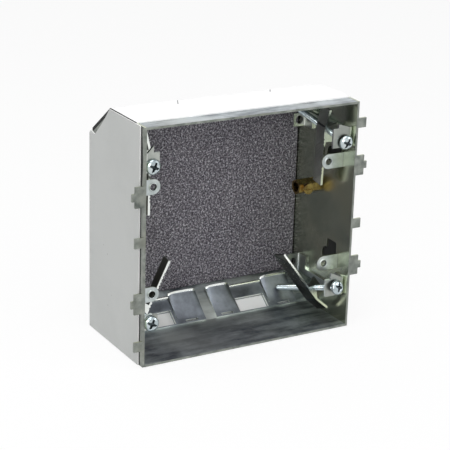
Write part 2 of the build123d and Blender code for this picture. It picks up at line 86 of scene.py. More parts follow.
class Coat(Enum):
    """The named finishes of the box."""

    ZINC_SHELL = "zinc_shell"
    ZINC_SIDE = "zinc_side"
    # Painted shade: a darker copy of the zinc for the front edges, the ears and the outer faces
    ZINC_FRONT_SHADE = "zinc_front_shade"
    # Painted shade: a darker, bluer copy of the side plate's zinc for the forward-facing lugs and their
    # collars
    ZINC_LUG_SHADE = "zinc_lug_shade"
    # Painted highlight: a pale zinc for sheared and rounded edges and for the crests of rolled rims
    ZINC_EDGE_HIGHLIGHT = "zinc_edge_highlight"
    # Painted shade: a near-black zinc for recesses, grooves, threads and the head's underside
    ZINC_HOLLOW_SHADE = "zinc_hollow_shade"
    ZINC_CLAMP = "zinc_clamp"
    ZINC_BRACKET = "zinc_bracket"
    ZINC_WING = "zinc_wing"
    # Painted shade: a darker copy of the wing's zinc for the bottom wings
    ZINC_SHADED_WING = "zinc_shaded_wing"
    ZINC_SCREW = "zinc_screw"
    BRASS = "brass"
    GRAPHITE = "graphite"
    WHITE_FILM = "white_film"
    # Painted shade: the side films wear grey, standing in for the shade on the box's sides
    SHADED_SIDE_FILM = "grey_film"
    PALE_CUT = "pale_cut"
    # Painted shadow: a near-black film for film edges, the glued inner face and the gap strips
    SHADOW_CUT = "shadow_cut"
    PRINT = "print"


class PlateSlot(IntEnum):
    """The material slots of a plate with rounded edges."""

    BODY = 0
    # EDGE is a painted highlight on brackets and wings and a painted shade on the walls; FRONT and INNER
    # are painted shade
    EDGE = 1
    FRONT = 2
    INNER = 3


class FilmSlot(IntEnum):
    """The material slots of a film."""

    BROAD = 0
    FRONT_CUT = 1
    # SIDE_CUT carries a painted shadow
    SIDE_CUT = 2


class Bench:
    """A small helper that lays out one material's nodes."""

    def __init__(self, name: str) -> None:
        """Starts a material with an output, one surface shader and the object's coordinates.

        Args:
            name: the material's name.
        """
        self.material = bpy.data.materials.new(name)
        self.material.use_nodes = True
        self.tree = self.material.node_tree
        self.tree.nodes.clear()
        output = self.tree.nodes.new("ShaderNodeOutputMaterial")
        self.surface = self.tree.nodes.new("ShaderNodeBsdfPrincipled")
        self.link(self.surface.outputs["BSDF"], output.inputs["Surface"])
        self.place = self.tree.nodes.new("ShaderNodeTexCoord").outputs["Object"]

    def link(self, source: Socket, target: Socket) -> None:
        """Joins two sockets."""
        self.tree.links.new(source, target)

    def stretched(self, scale: tuple[float, float, float]) -> Socket:
        """Object coordinates, scaled along each axis.

        Args:
            scale: factors along X, Y and Z.

        Returns:
            The socket of the mapped coordinates.
        """
        mapping = self.tree.nodes.new("ShaderNodeMapping")
        mapping.inputs["Scale"].default_value = scale
        self.link(self.place, mapping.inputs["Vector"])
        return mapping.outputs["Vector"]

    def noise(
        self,
        scale: float,
        detail: float = 3.0,
        roughness: float = 0.5,
        distortion: float = 0.0,
        vector: Socket | None = None,
    ) -> Socket:
        """A noise value between 0 and 1.

        Args:
            scale: cells in a metre.
            detail: octaves.
            roughness: how strong the fine octaves are.
            distortion: how far the noise is bent.
            vector: the coordinates, or None for the object's own.

        Returns:
            The socket of the value.
        """
        node = self.tree.nodes.new("ShaderNodeTexNoise")
        node.inputs["Scale"].default_value = scale
        node.inputs["Detail"].default_value = detail
        node.inputs["Roughness"].default_value = roughness
        node.inputs["Distortion"].default_value = distortion
        self.link(vector or self.place, node.inputs["Vector"])
        return node.outputs["Fac"]

    def cells(self, scale: float) -> Socket:
        """Distances to the nearest of many scattered points.

        Args:
            scale: cells in a metre.

        Returns:
            The socket of the distance.
        """
        node = self.tree.nodes.new("ShaderNodeTexVoronoi")
        node.inputs["Scale"].default_value = scale
        self.link(self.place, node.inputs["Vector"])
        return node.outputs["Distance"]

    def ramp(self, value: Socket, stops: list[tuple[float, Colour]]) -> Socket:
        """Turns a value into a colour.

        Args:
            value: the value to turn.
            stops: positions with their colours.

        Returns:
            The socket of the colour.
        """
        node = self.tree.nodes.new("ShaderNodeValToRGB")
        band = node.color_ramp
        while len(band.elements) < len(stops):
            band.elements.new(0.5)
        for element, (position, colour) in zip(band.elements, stops):
            element.position = position
            element.color = (*colour, 1.0)
        self.link(value, node.inputs["Fac"])
        return node.outputs["Color"]

    def spread(
        self,
        value: Socket,
        low: float,
        high: float,
        start: float = 0.3,
        end: float = 0.7,
    ) -> Socket:
        """Carries a value from one range to another, held at both ends.

        Args:
            value: the value to carry over.
            low: result at start.
            high: result at end.
            start: value that gives low.
            end: value that gives high.

        Returns:
            The socket of the result.
        """
        node = self.tree.nodes.new("ShaderNodeMapRange")
        node.inputs["From Min"].default_value = start
        node.inputs["From Max"].default_value = end
        node.inputs["To Min"].default_value = low
        node.inputs["To Max"].default_value = high
        self.link(value, node.inputs["Value"])
        return node.outputs["Result"]

    def blend(self, share: Socket | float, first: Socket, second: Socket, mode: str = "MIX") -> Socket:
        """Mixes two colours.

        Args:
            share: how much of the second colour shows.
            first: the first colour.
            second: the second colour.
            mode: the way of mixing.

        Returns:
            The socket of the mixed colour.
        """
        node = self.tree.nodes.new("ShaderNodeMix")
        node.data_type = "RGBA"
        node.blend_type = mode
        # The node has sockets for numbers, vectors and colours under the same names, so they go by place
        factor, first_colour, second_colour = (node.inputs[number] for number in (0, 6, 7))
        if isinstance(share, float):
            factor.default_value = share
        else:
            self.link(share, factor)
        self.link(first, first_colour)
        self.link(second, second_colour)
        return node.outputs[2]

    def sum(self, first: Socket, second: Socket, weight: float) -> Socket:
        """Adds weight times the second value to the first.

        Args:
            first: the first value.
            second: the second value.
            weight: the second value's factor.

        Returns:
            The socket of the sum.
        """
        node = self.tree.nodes.new("ShaderNodeMath")
        node.operation = "MULTIPLY_ADD"
        self.link(second, node.inputs[0])
        node.inputs[1].default_value = weight
        self.link(first, node.inputs[2])
        return node.outputs[0]

    def relief(self, height: Socket, strength: float, distance: float) -> None:
        """Raises the surface by a height value.

        Args:
            height: the value that is taken as a height.
            strength: share of the relief.
            distance: height in metres of a value of one.
        """
        node = self.tree.nodes.new("ShaderNodeBump")
        node.inputs["Strength"].default_value = strength
        node.inputs["Distance"].default_value = distance
        self.link(height, node.inputs["Height"])
        self.link(node.outputs["Normal"], self.surface.inputs["Normal"])

    def finished(self, colour: Socket, roughness: Socket, metallic: float = 0.0) -> bpy.types.Material:
        """Joins the colour and the roughness to the surface.

        Args:
            colour: the base colour.
            roughness: the roughness.
            metallic: 1 for bare metal and 0 for anything else.

        Returns:
            The material.
        """
        self.link(colour, self.surface.inputs["Base Color"])
        self.link(roughness, self.surface.inputs["Roughness"])
        self.surface.inputs["Metallic"].default_value = metallic
        return self.material


class Finish(Protocol):
    """A finish that can lay out its material."""

    def material(self, name: str) -> bpy.types.Material:
        """Lays out the finish under a name."""


@dataclass(frozen=True)
class ZincFinish:
    """Zinc-plated sheet: rolled grain, cloudy patches and faint green, blue and straw tints."""

    dark: Colour
    light: Colour
    straw: Colour
    gloss_low: float = 0.17
    gloss_high: float = 0.34
    cloud_scale: float = 38.0
    streaks: float = 0.0
    fine_scale: float = 420.0
    grain_scale: float = 900.0
    grain_stretch: tuple[float, float, float] = (1.0, 1.0, 14.0)
    grain_height: float = 0.00002
    patch_share: float = 0.45
    streak_scale: float = 150.0
    streak_stretch: tuple[float, float, float] = (0.3, 1.5, 1.5)

    def material(self, name: str) -> bpy.types.Material:
        """Lays out the finish.

        Args:
            name: the material's name.

        Returns:
            The material.
        """
        bench = Bench(name)
        clouds = bench.noise(self.cloud_scale, detail=5.0, roughness=0.62, distortion=0.15)
        fine = bench.noise(self.fine_scale, detail=2.0, roughness=0.6)
        rolled = bench.stretched(self.grain_stretch)
        grain = bench.noise(self.grain_scale, detail=3.0, roughness=0.6, vector=rolled)
        patches = bench.noise(self.cloud_scale * self.patch_share, detail=2.0)
        shade = bench.sum(clouds, fine, 0.12)
        if self.streaks > 0.0:
            drawn = bench.stretched(self.streak_stretch)
            streaks = bench.noise(self.streak_scale, detail=5.0, roughness=0.68, vector=drawn)
            shade = bench.sum(shade, bench.spread(streaks, -0.5, 0.5, 0.2, 0.8), self.streaks)
        base = bench.ramp(shade, [(0.34, self.dark), (0.72, self.light)])
        tint = bench.ramp(patches, [(0.0, self.light), (1.0, self.straw)])
        colour = bench.blend(bench.spread(patches, 0.0, 0.55, 0.48, 0.72), base, tint)
        bench.relief(bench.sum(grain, fine, 0.5), 0.5, self.grain_height)
        worn = bench.sum(clouds, grain, 0.35)
        rough = bench.spread(worn, self.gloss_low, self.gloss_high, 0.4, 0.95)
        return bench.finished(colour, rough, metallic=1.0)


@dataclass(frozen=True)
class BrassFinish:
    """Machined brass with turning marks and a brown cast."""

    dark: Colour = (0.13, 0.075, 0.028)
    light: Colour = (0.42, 0.31, 0.12)
    mark_scale: float = 1800.0
    mark_stretch: tuple[float, float, float] = (1.0, 0.1, 0.1)
    mark_height: float = 0.00003
    cloud_scale: float = 260.0

    def material(self, name: str) -> bpy.types.Material:
        """Lays out the finish.

        Args:
            name: the material's name.

        Returns:
            The material.
        """
        bench = Bench(name)
        marks = bench.noise(self.mark_scale, detail=2.0, vector=bench.stretched(self.mark_stretch))
        clouds = bench.noise(self.cloud_scale, detail=3.0)
        colour = bench.ramp(bench.sum(clouds, marks, 0.3), [(0.4, self.dark), (0.85, self.light)])
        bench.relief(marks, 0.4, self.mark_height)
        return bench.finished(colour, bench.spread(clouds, 0.2, 0.38), metallic=1.0)


@dataclass(frozen=True)
class GraphiteFinish:
    """A pressed graphite pad: dark purple-grey grains with scattered pale flecks."""

    dark: Colour = (0.016, 0.014, 0.019)
    middle: Colour = (0.130, 0.119, 0.142)
    pale: Colour = (0.72, 0.70, 0.74)
    dulled: Colour = (0.82, 0.82, 0.84)
    plain: Colour = (1.0, 1.0, 1.0)
    grain_scale: float = 1200.0
    fleck_scale: float = 1100.0
    cloud_scale: float = 90.0
    grain_height: float = 0.0004

    def material(self, name: str) -> bpy.types.Material:
        """Lays out the finish.

        Args:
            name: the material's name.

        Returns:
            The material.
        """
        bench = Bench(name)
        grains = bench.noise(self.grain_scale, detail=4.0, roughness=0.72)
        flecks = bench.cells(self.fleck_scale)
        clouds = bench.noise(self.cloud_scale, detail=3.0)
        ground = bench.ramp(grains, [(0.36, self.dark), (0.52, self.middle), (0.68, self.pale)])
        fleck_colour = bench.ramp(flecks, [(0.0, self.pale), (1.0, self.middle)])
        speckled = bench.blend(bench.spread(flecks, 0.9, 0.0, 0.10, 0.24), ground, fleck_colour)
        shade = bench.ramp(clouds, [(0.3, self.dulled), (0.7, self.plain)])
        colour = bench.blend(1.0, speckled, shade, mode="MULTIPLY")
        bench.relief(bench.sum(grains, flecks, -0.4), 0.8, self.grain_height)
        return bench.finished(colour, bench.spread(grains, 0.75, 0.5))


@dataclass(frozen=True)
class FilmFinish:
    """A bonded plastic film: nearly even colour, faint smudges and a soft orange-peel relief.

    With a speck share above zero, a few patches of it carry small dark specks.
    """

    shadow: Colour
    body: Colour
    gloss_low: float = 0.38
    gloss_high: float = 0.55
    speck_share: float = 0.0
    speck: Colour = (0.12, 0.12, 0.13)
    smudge_scale: float = 26.0
    peel_scale: float = 620.0
    peel_height: float = 0.00006
    speck_scale: float = 160.0
    patch_scale: float = 14.0

    def material(self, name: str) -> bpy.types.Material:
        """Lays out the finish.

        Args:
            name: the material's name.

        Returns:
            The material.
        """
        bench = Bench(name)
        smudges = bench.noise(self.smudge_scale, detail=4.0, roughness=0.6, distortion=0.4)
        peel = bench.noise(self.peel_scale, detail=2.0)
        colour = bench.ramp(bench.sum(smudges, peel, 0.1), [(0.3, self.shadow), (0.62, self.body)])
        if self.speck_share > 0.0:
            specks = bench.cells(self.speck_scale)
            patches = bench.noise(self.patch_scale, detail=1.0)
            dark = bench.ramp(specks, [(0.0, self.speck), (1.0, self.body)])
            share = bench.spread(specks, self.speck_share, 0.0, 0.03, 0.055)
            spotted = bench.blend(share, colour, dark)
            colour = bench.blend(bench.spread(patches, 0.0, 1.0, 0.58, 0.6), colour, spotted)
        bench.relief(bench.sum(peel, smudges, 2.0), 0.25, self.peel_height)
        return bench.finished(colour, bench.spread(smudges, self.gloss_low, self.gloss_high))


FINISHES: dict[Coat, Finish] = {
    Coat.ZINC_SHELL: ZincFinish(
        (0.14, 0.16, 0.18), (0.52, 0.56, 0.58), (0.50, 0.51, 0.45), 0.30, 0.56, 60.0, streaks=0.7
    ),
    Coat.ZINC_SIDE: ZincFinish(
        (0.38, 0.44, 0.36), (0.62, 0.66, 0.50), (0.68, 0.62, 0.34), 0.17, 0.28
    ),
    # Painted shade on the front edges, the ears and the outer faces
    Coat.ZINC_FRONT_SHADE: ZincFinish(
        (0.10, 0.115, 0.105), (0.31, 0.33, 0.30), (0.25, 0.25, 0.20), 0.30, 0.50, 220.0
    ),
    # Painted shade on the forward-facing lugs
    Coat.ZINC_LUG_SHADE: ZincFinish(
        (0.34, 0.38, 0.38), (0.58, 0.63, 0.63), (0.50, 0.51, 0.46), 0.26, 0.42, 200.0
    ),
    # Painted highlight on edges and rolled rims
    Coat.ZINC_EDGE_HIGHLIGHT: ZincFinish(
        (0.66, 0.70, 0.68), (0.88, 0.91, 0.88), (0.80, 0.80, 0.72), 0.16, 0.30, 160.0
    ),
    # Painted shade in recesses, grooves and threads
    Coat.ZINC_HOLLOW_SHADE: ZincFinish(
        (0.03, 0.04, 0.045), (0.10, 0.12, 0.13), (0.08, 0.08, 0.07), 0.30, 0.50, 200.0
    ),
    Coat.ZINC_CLAMP: ZincFinish(
        (0.10, 0.11, 0.13), (0.30, 0.33, 0.37), (0.22, 0.22, 0.25), 0.36, 0.52, 90.0
    ),
    Coat.ZINC_BRACKET: ZincFinish(
        (0.20, 0.22, 0.20), (0.48, 0.50, 0.47), (0.38, 0.34, 0.27), 0.26, 0.44
    ),
    Coat.ZINC_WING: ZincFinish(
        (0.24, 0.25, 0.23), (0.62, 0.64, 0.58), (0.48, 0.44, 0.36), 0.36, 0.52
    ),
    # Painted shade on the bottom wings
    Coat.ZINC_SHADED_WING: ZincFinish(
        (0.05, 0.055, 0.05), (0.18, 0.19, 0.17), (0.15, 0.14, 0.11), 0.26, 0.42
    ),
    Coat.ZINC_SCREW: ZincFinish(
        (0.26, 0.32, 0.35), (0.58, 0.65, 0.67), (0.50, 0.52, 0.46), 0.14, 0.28, 260.0
    ),
    Coat.BRASS: BrassFinish(),
    Coat.GRAPHITE: GraphiteFinish(),
    Coat.WHITE_FILM: FilmFinish((0.85, 0.85, 0.85), (0.90, 0.90, 0.90)),
    # Painted shade: grey for the side films
    Coat.SHADED_SIDE_FILM: FilmFinish((0.42, 0.432, 0.42), (0.475, 0.486, 0.474), speck_share=0.7),
    Coat.PALE_CUT: FilmFinish((0.78, 0.79, 0.78), (0.88, 0.88, 0.87)),
    # Painted shadow at film edges and gaps
    Coat.SHADOW_CUT: FilmFinish((0.004, 0.005, 0.005), (0.014, 0.015, 0.015), 0.86, 0.96),
    Coat.PRINT: FilmFinish((0.03, 0.03, 0.035), (0.05, 0.05, 0.055)),
}


@contextmanager
def opened(mesh: bpy.types.Mesh) -> Iterator[bmesh.types.BMesh]:
    """Opens a mesh for editing and writes it back at the end.

    Args:
        mesh: the mesh.

    Yields:
        The mesh's editable form.
    """
    body = bmesh.new()
    body.from_mesh(mesh)
    yield body
    body.to_mesh(mesh)
    body.free()


def new_piece(
    name: str,
    points: np.ndarray,
    faces: list[tuple[int, ...]] | np.ndarray,
    smooth: bool = True,
) -> bpy.types.Object:
    """Makes a mesh object at the origin from whole arrays.

    Args:
        name: the piece's name.
        points: vertex places in metres, one row each.
        faces: vertex numbers of each face, anticlockwise seen from outside.
        smooth: whether the faces are shaded smooth.

    Returns:
        The new object.
    """
    mesh = bpy.data.meshes.new(name)
    corners = [tuple(map(int, face)) for face in faces]
    mesh.from_pydata(np.asarray(points, float).tolist(), [], corners)
    mesh.validate()
    mesh.polygons.foreach_set("use_smooth", np.full(len(mesh.polygons), smooth))
    mesh.update()
    piece = bpy.data.objects.new(name, mesh)
    bpy.context.scene.collection.objects.link(piece)
    return piece


def smooth_by_angle(piece: bpy.types.Object, degrees: float) -> None:
    """Keeps edges sharper than an angle crisp.

    Args:
        piece: the piece.
        degrees: the angle.
    """
    limit = radians(degrees)
    with opened(piece.data) as body:
        for edge in body.edges:
            edge.smooth = len(edge.link_faces) == 2 and edge.calc_face_angle(0.0) < limit


def close_up(piece: bpy.types.Object) -> None:
    """Drops points that no face uses and turns every face outwards.

    Args:
        piece: the piece.
    """
    with opened(piece.data) as body:
        loose = [vertex for vertex in body.verts if not vertex.link_faces]
        bmesh.ops.delete(body, geom=loose, context="VERTS")
        bmesh.ops.recalc_face_normals(body, faces=body.faces)


def grid_faces(rows: int, columns: int, wrap: bool = False) -> np.ndarray:
    """Quads over a grid of rows by columns of vertices, numbered row by row.

    Args:
        rows: rows of vertices.
        columns: vertices in a row.
        wrap: whether the last column joins the first.

    Returns:
        One row of four vertex numbers for each quad.
    """
    across = columns if wrap else columns - 1
    row, column = np.meshgrid(np.arange(rows - 1), np.arange(across), indexing="ij")
    after = (column + 1) % columns
    corners = (
        row * columns + column,
        row * columns + after,
        (row + 1) * columns + after,
        (row + 1) * columns + column,
    )
    return np.stack(corners, axis=-1).reshape(-1, 4)


def full_turn(count: int) -> np.ndarray:
    """Even steps round a full turn, as one row of angles in radians."""
    return np.linspace(0.0, 2 * pi, count, endpoint=False)[None, :]


def turned_points(radius: np.ndarray, turn: np.ndarray, depth: np.ndarray) -> np.ndarray:
    """Points turned about the third axis: radius times the turn's cosine and sine, and the depth.

    Args:
        radius: radii, by row or by row and column.
        turn: turns, by column.
        depth: places along the axis, by row.

    Returns:
        One row of three numbers for each point.
    """
    across, other = radius * np.cos(turn), radius * np.sin(turn)
    return np.stack((across, other, np.broadcast_to(depth, across.shape)), axis=-1).reshape(-1, 3)


def cell_means(values: np.ndarray) -> np.ndarray:
    """The mean of each cell's four corners, on a grid whose last column joins its first.

    Args:
        values: one value for each grid point.

    Returns:
        One value for each cell, row by row.
    """
    beside = np.roll(values, -1, axis=1)
    return ((values[:-1] + values[1:] + beside[:-1] + beside[1:]) / 4).reshape(-1)


def right_of(start: np.ndarray, end: np.ndarray) -> np.ndarray:
    """The unit vector that points to the right of the line from start to end, in a plane."""
    along = (end - start) / np.linalg.norm(end - start)
    return np.array((along[1], -along[0]))


class Workshop:
    """Holds the loaded frame, makes each material once and dresses the pieces."""

    merge_distance: float = 1e-6
    flat_degrees: float = 0.5

    def __init__(self, frame: dict) -> None:
        """Starts with no material made.

        Args:
            frame: the loaded frame.
        """
        self.frame = frame
        self.made: dict[Coat, bpy.types.Material] = {}

    def material(self, coat: Coat) -> bpy.types.Material:
        """The material of one finish.

        Args:
            coat: the finish asked for.

        Returns:
            The material.
        """
        if coat not in self.made:
            self.made[coat] = FINISHES[coat].material(coat.value)
        return self.made[coat]

    def dress(self, piece: bpy.types.Object, *coats: Coat) -> bpy.types.Object:
        """Gives a piece one material slot for each finish, and keeps the slots its faces chose.

        Args:
            piece: the piece to dress.
            coats: the finishes, in the slots' order.

        Returns:
            The same piece.
        """
        chosen = np.zeros(len(piece.data.polygons), np.int32)
        piece.data.polygons.foreach_get("material_index", chosen)
        piece.data.materials.clear()
        for coat in coats:
            piece.data.materials.append(self.material(coat))
        piece.data.polygons.foreach_set("material_index", np.minimum(chosen, len(coats) - 1))
        return piece

    def merged_copy(
        self,
        node: str,
        ending: str,
        slot_of: Callable[[bmesh.types.BMFace], int],
    ) -> bpy.types.Object:
        """Copies a node's mesh into a piece of its own and merges its loose triangles to flat faces.

        Args:
            node: the node, which stays as it is.
            ending: what the piece's name adds to the node's.
            slot_of: gives the material slot of each merged face.

        Returns:
            The new piece.
        """
        mesh = self.frame["nodes"][node].data.copy()
        mesh.name = f"{node}_{ending}"
        with opened(mesh) as body:
            bmesh.ops.remove_doubles(body, verts=body.verts, dist=self.merge_distance)
            flat = radians(self.flat_degrees)
            bmesh.ops.dissolve_limit(body, angle_limit=flat, verts=body.verts, edges=body.edges)
            body.normal_update()
            for face in body.faces:
                face.smooth = True
                face.material_index = slot_of(face)
        piece = bpy.data.objects.new(f"{node}_{ending}", mesh)
        bpy.context.scene.collection.objects.link(piece)
        return piece


class Piece(Protocol):
    """Anything that builds one piece of the scene."""

    def build(self, shop: Workshop) -> bpy.types.Object:
        """Builds the piece and dresses it."""


@dataclass
class SoftenedPlate:
    """A pressed or machined piece whose sharp edges get a small rounding.

    A face that is long and narrow counts as a sheared edge and may wear the edge coat. Where an edge
    coat is named, the rounded edges wear it too: a painted highlight on brackets and wings, and a
    painted shade on the walls. Faces in front of a depth or outside the box may wear the front coat, a
    painted shade. Faces that look forwards near the lugs' depth, or a wing's narrow grooves, may wear
    the inner coat, a painted shade.
    """

    node: str
    body: str
    coat: Coat
    slot: str
    rounding: float = 0.12 * MM
    angle: float = 32.0
    segments: int = 2
    # A painted highlight on brackets and wings, and a painted shade on the walls' rounded edges
    edge_coat: Coat | None = None
    # A painted shade for front edges, ears and outer faces
    front_shade_coat: Coat | None = None
    # A painted shade for forward-facing lugs and for grooves
    inner_shade_coat: Coat | None = None
    front_depth: float = -7.4 * MM
    lug_depth: float = 0.6 * MM
    outer_face: float = (HALF_WIDTH - 0.1) * MM
    forwards: float = -0.7
    square_on: float = 0.9
    sheared: float = 0.0
    shear_length: float = 2.5 * MM
    groove: float = 0.0

    def coats(self) -> list[Coat]:
        """The piece's coats, with its own coat wherever no other is named.

        Returns:
            One coat for each material slot.
        """
        others = (self.edge_coat, self.front_shade_coat, self.inner_shade_coat)
        return [self.coat, *(coat or self.coat for coat in others)]

    def slot_of(self, face: bmesh.types.BMFace) -> PlateSlot:
        """The material slot of one face.

        A face's width is taken as its area over half its perimeter.

        Args:
            face: the face.

        Returns:
            The slot.
        """
        half_round = sum(edge.calc_length() for edge in face.edges) / 2
        width = face.calc_area() / half_round
        # Narrow grooves take the inner slot, a painted shade
        if width < self.groove:
            return PlateSlot.INNER
        # Long narrow faces take the edge slot, a painted highlight on brackets and wings
        if half_round > self.shear_length and width < self.sheared:
            return PlateSlot.EDGE
        middle = face.calc_center_median()
        # Outside faces take the front slot, a painted shade
        if face.normal.y > self.forwards:
            outside = abs(middle.x) > self.outer_face and abs(face.normal.x) > self.square_on
            return PlateSlot.FRONT if outside else PlateSlot.BODY
        # Forward-facing faces in front of the front depth take the front slot, and those at the lugs'
        # depth the inner slot: both painted shade
        if middle.y < self.front_depth:
            return PlateSlot.FRONT
        return PlateSlot.INNER if abs(middle.y) < self.lug_depth else PlateSlot.BODY

    def build(self, shop: Workshop) -> bpy.types.Object:
        """Copies the node's mesh, merges it and rounds its sharp edges.

        Args:
            shop: the frame and the materials.

        Returns:
            The piece that stands for the node.
        """
        piece = shop.merged_copy(self.node, "soft", self.slot_of)
        rounding = piece.modifiers.new("rounding", "BEVEL")
        rounding.width = self.rounding
        rounding.segments = self.segments
        rounding.limit_method = "ANGLE"
        rounding.angle_limit = radians(self.angle)
        rounding.harden_normals = True
        # The rounded edges take the edge slot: a painted highlight on brackets and wings, a painted
        # shade on the walls
        if self.edge_coat:
            rounding.material = PlateSlot.EDGE
        flat = piece.modifiers.new("flat_faces", "WEIGHTED_NORMAL")
        flat.weight = 100
        flat.keep_sharp = True
        shop.dress(piece, *self.coats())
        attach(piece, self.body)
        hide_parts(self.node)
        return piece


@dataclass
class BondedFilm:
    """A bonded film: its broad face in one coat, its front cut pale, and its side cuts and glued inner
    face near black, a painted shadow.

    Its side is -1 or 1 for a film on a side plate, and 0 for one over the top or bottom wall.
    """

    node: str
    coat: Coat
    slot: str
    side: int = 0
    front_cut: Coat = Coat.PALE_CUT
    # Painted shadow on the side cuts and on the glued inner face
    side_shadow_coat: Coat = Coat.SHADOW_CUT
    square_on: float = 0.9
    crisp_degrees: float = 30.0

    def slot_of(self, face: bmesh.types.BMFace) -> FilmSlot:
        """The material slot of one face, from the way it looks.

        Args:
            face: the face.

        Returns:
            The slot.
        """
        sideways = abs(face.normal.x) > self.square_on
        forwards = face.normal.y <= -self.square_on
        # The glued inner face of a side film takes the side cut's painted shadow
        if self.side * face.normal.x < -self.square_on:
            return FilmSlot.SIDE_CUT
        broad = sideways if self.side else not (sideways or forwards)
        if broad:
            return FilmSlot.BROAD
        return FilmSlot.SIDE_CUT if sideways else FilmSlot.FRONT_CUT

    def build(self, shop: Workshop) -> bpy.types.Object:
        """Copies the film's mesh, merges it and coats each face by the way it looks.

        Args:
            shop: the frame and the materials.

        Returns:
            The piece that stands for the node.
        """
        piece = shop.merged_copy(self.node, "sheet", self.slot_of)
        smooth_by_angle(piece, self.crisp_degrees)
        shop.dress(piece, self.coat, self.front_cut, self.side_shadow_coat)
        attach(piece, "box")
        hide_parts(self.node)
        return piece


@dataclass
class CableClamp:
    """A pressed cable clamp: a hinge strip, a pierced middle with a rolled rim and two lifted tongues.

    The plate is a height over the bevel's inner face, in millimetres. Its own numbers run across the
    box from the clamp's centre, and up the bevel from its fold with the top or bottom wall.
    """

    place: str
    centre: float
    end: int
    half: float = 20.6
    tongue_left: float = -9.4
    tongue_right: float = 7.2
    gap: float = 0.4
    start: float = 0.5
    hinge: float = 2.9
    middle_finish: float = 14.2
    finish: float = 15.9
    sheet: float = 0.8
    roll: float = 0.9
    rise: float = 2.2
    rise_power: float = 1.25
    side_drop: float = 0.5
    side_power: int = 5
    curl_height: float = 0.55
    curl_back: float = 0.5
    curl_width: float = 0.45
    # Bead height above which the top wears the painted highlight
    highlight_height: float = 0.12
    hole_across: tuple[float, float] = (-8.7, 5.9)
    hole_up: tuple[float, float] = (0.9, 7.9)
    slot_middles: tuple[float, float] = (-15.0, 13.9)
    slot_half: float = 3.0
    slot_up: tuple[float, float] = (1.0, 2.0)
    step: float = 0.38
    fold_depth: float = 21.9
    slope: tuple[float, float] = (19.0, 14.2)
    wall: float = 1.0
    crisp_degrees: float = 40.0

    def lines(self) -> tuple[np.ndarray, np.ndarray]:
        """The grid's lines: every cut edge, with even steps between.

        Returns:
            Places across the box and places up the slope, in millimetres.
        """
        slots = [middle + way * self.slot_half for middle in self.slot_middles for way in (-1, 1)]
        slits = [self.tongue_left + self.gap, self.tongue_right - self.gap]
        sides = [self.tongue_left, self.tongue_right, -self.half, self.half]
        rim = self.middle_finish + self.roll
        rims = [rim - 2 * self.roll, rim, self.finish]
        across = sorted([*sides, *slits, *self.hole_across, *slots])
        up = sorted([self.start, *self.hole_up, *self.slot_up, self.hinge, *rims])
        return self.divided(across), self.divided(up)

    def divided(self, stops: list[float]) -> np.ndarray:
        """Even steps between each pair of neighbouring stops.

        Args:
            stops: places in rising order.

        Returns:
            The stops and the places between them.
        """
        runs = [
            np.linspace(first, last, max(2, int(np.ceil((last - first) / self.step)) + 1))[:-1]
            for first, last in zip(stops[:-1], stops[1:])
        ]
        return np.append(np.concatenate(runs), stops[-1])

    def kept(self, across: np.ndarray, up: np.ndarray) -> np.ndarray:
        """Marks the cells of metal: not the holes, the slits beside the middle or the room above it.

        Args:
            across: each cell's middle across the box.
            up: each cell's middle up the slope.

        Returns:
            True for each cell of metal.
        """
        left, right = self.hole_across
        low, high = self.hole_up
        hole = (across > left) & (across < right) & (up > low) & (up < high)
        low, high = self.slot_up
        for middle in self.slot_middles:
            hole |= (np.abs(across - middle) < self.slot_half) & (up > low) & (up < high)
        free = up > self.hinge
        between = (across > self.tongue_left) & (across < self.tongue_right)
        slit = (across < self.tongue_left + self.gap) | (across > self.tongue_right - self.gap)
        above = up > self.middle_finish + self.roll
        return ~(hole | (free & between & slit) | (between & above))

    def on_tongue(self, across: np.ndarray) -> np.ndarray:
        """True where a place across the box lies on a tongue."""
        return (across <= self.tongue_left) | (across >= self.tongue_right)

    def lift(self, across: np.ndarray, up: np.ndarray) -> np.ndarray:
        """The tongues' lift: the rise times the run to a power, lower towards each tongue's sides.

        Args:
            across: places across the box.
            up: places up the slope.

        Returns:
            The height of the plate's underside.
        """
        run = np.clip((up - self.hinge) / (self.finish - self.hinge), 0.0, 1.0)
        left = np.abs((across + self.half) / (self.tongue_left + self.half) * 2 - 1)
        right = np.abs((across - self.half) / (self.tongue_right - self.half) * 2 - 1)
        share = np.clip(np.where(across < 0.0, left, right), 0.0, 1.0)
        height = self.rise * run**self.rise_power * (1 - self.side_drop * share**self.side_power)
        return np.where(self.on_tongue(across), height, 0.0)

    def bead(self, across: np.ndarray, up: np.ndarray) -> np.ndarray:
        """The rims: a round roll over the middle's edge, a bell curve on each tongue's free end.

        Args:
            across: places across the box.
            up: places up the slope.

        Returns:
            The height added to the plate's top.
        """
        beyond = up - self.middle_finish
        arch = np.sqrt(np.clip(self.roll**2 - beyond**2, 0.0, None))
        roll = np.maximum(arch + self.roll - self.sheet, 0.0)
        on_roll = np.abs(beyond) < self.roll - 1e-6
        bell = np.exp(-(((up - self.finish + self.curl_back) / self.curl_width) ** 2))
        return np.where(self.on_tongue(across), self.curl_height * bell, np.where(on_roll, roll, 0.0))

    def carried(self, across: np.ndarray, up: np.ndarray, height: np.ndarray) -> np.ndarray:
        """Carries the plate's numbers to the box: along the bevel, then square to it and inwards.

        Args:
            across: places across the box.
            up: places up the slope.
            height: heights over the bevel's inner face.

        Returns:
            One row of three numbers for each point, in millimetres.
        """
        cosine, sine = self.slope / np.hypot(*self.slope)
        inwards = self.wall + height
        points = (
            self.centre + across,
            self.fold_depth + up * cosine - inwards * sine,
            self.end * (HALF_HEIGHT - up * sine - inwards * cosine),
        )
        return np.stack(points, axis=-1).reshape(-1, 3)

